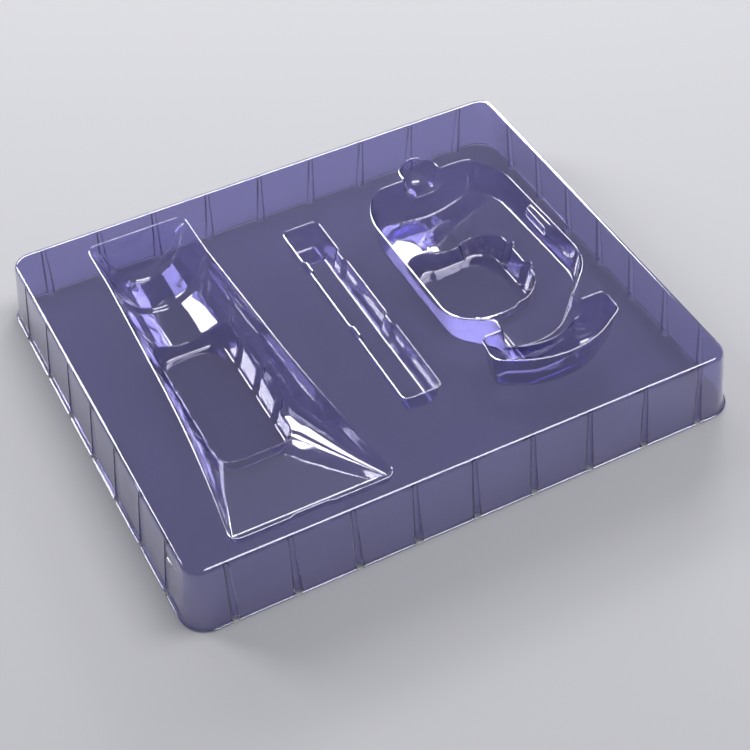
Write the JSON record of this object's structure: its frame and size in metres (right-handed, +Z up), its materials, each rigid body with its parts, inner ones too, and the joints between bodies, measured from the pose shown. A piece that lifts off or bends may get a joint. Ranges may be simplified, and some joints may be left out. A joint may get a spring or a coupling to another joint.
{
  "type": "thermoformed tray",
  "caption": "Clear thermoformed insert tray with a flat deck, a fluted skirt and hanging cavities for a squeeze tube, a pen-shaped applicator and a hand-held device.",
  "frame": {"origin": "middle of the footprint, on the table", "axes": "+X along the long front edge towards the device cavity, +Y towards the back, +Z up out of the open cavities"},
  "size_m": [0.2844, 0.2384, 0.035],
  "materials": {
    "clear_plastic": "clear, glossy"
  },
  "bodies": {
    "root": {"tray": "clear_plastic"}
  },
  "joints": []
}
